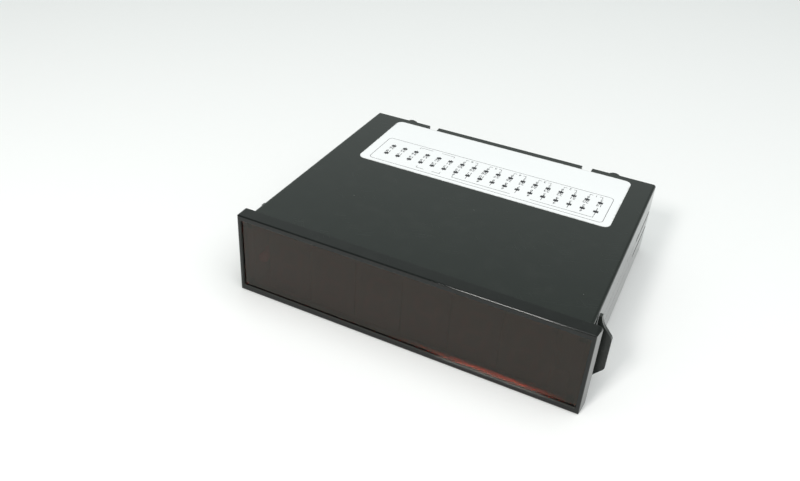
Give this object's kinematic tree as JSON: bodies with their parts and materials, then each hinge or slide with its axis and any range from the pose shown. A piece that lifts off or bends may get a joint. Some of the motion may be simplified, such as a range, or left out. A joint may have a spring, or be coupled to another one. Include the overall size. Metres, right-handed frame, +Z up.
{
  "type": "digital panel meter",
  "caption": "Slim panel-mounting digital meter: wide bezel with smoked filter over red seven-segment digits, black case, side clips, card edge at the rear.",
  "frame": {"origin": "centre of the panel cut-out, on the plane where the bezel seats against the panel's front", "axes": "+X to the right seen from the front, +Y to the rear through the panel, +Z up"},
  "size_m": [0.0996, 0.0783, 0.024],
  "materials": {
    "case_plastic": "satin moulded black plastic with a fine texture",
    "filter_acrylic": "smoked red acrylic",
    "cover_plastic": "satin moulded black plastic",
    "black_screw": "black finished steel",
    "label_film": "white printed film",
    "clip_plastic": "black moulded plastic",
    "circuit_board": "green solder mask on glass laminate",
    "contact_gold": "gold plated copper",
    "digit_housing": "grey moulded plastic",
    "segment_resin": "red diffusing resin",
    "lamp_resin": "red diffusing resin",
    "header_plastic": "black insulator with tinned pins",
    "chip_resin": "dark moulded resin with tinned pins",
    "capacitor_sleeve": "dark blue shrink sleeve",
    "network_resin": "dipped resin"
  },
  "bodies": {
    "housing": {"case": "case_plastic", "filter_window": "filter_acrylic", "rear_cover": "cover_plastic", "cover_screws": "black_screw", "label": "label_film", "display_board": "circuit_board", "main_board": "circuit_board", "edge_contacts": "contact_gold", "digit_1": "digit_housing", "digit_2": "digit_housing", "digit_3": "digit_housing", "digit_4": "digit_housing", "digit_5": "digit_housing", "digit_6": "digit_housing", "digit_segments": "segment_resin", "polarity_led": "lamp_resin", "board_link_header": "header_plastic", "decoder_chip_1": "chip_resin", "decoder_chip_2": "chip_resin", "decoder_chip_3": "chip_resin", "decoder_chip_4": "chip_resin", "decoder_chip_5": "chip_resin", "decoder_chip_6": "chip_resin", "segment_resistors_1": "network_resin", "segment_resistors_2": "network_resin", "segment_resistors_3": "network_resin", "segment_resistors_4": "network_resin", "segment_resistors_5": "network_resin", "segment_resistors_6": "network_resin", "input_resistors_1": "network_resin", "input_resistors_2": "network_resin", "input_resistors_3": "network_resin", "point_driver_chip": "chip_resin", "protection_diode": "chip_resin", "supply_capacitor": "capacitor_sleeve"},
    "left_clip": {"mounting_clip_left": "clip_plastic"},
    "right_clip": {"mounting_clip_right": "clip_plastic"}
  },
  "joints": [
    {"name": "left_clip_slide", "type": "slide", "parent": "housing", "child": "left_clip", "axis": [0, 1, 0], "range_m": [-0.0048, 0.06]},
    {"name": "right_clip_slide", "type": "slide", "parent": "housing", "child": "right_clip", "axis": [0, 1, 0], "range_m": [-0.0048, 0.06]}
  ]
}
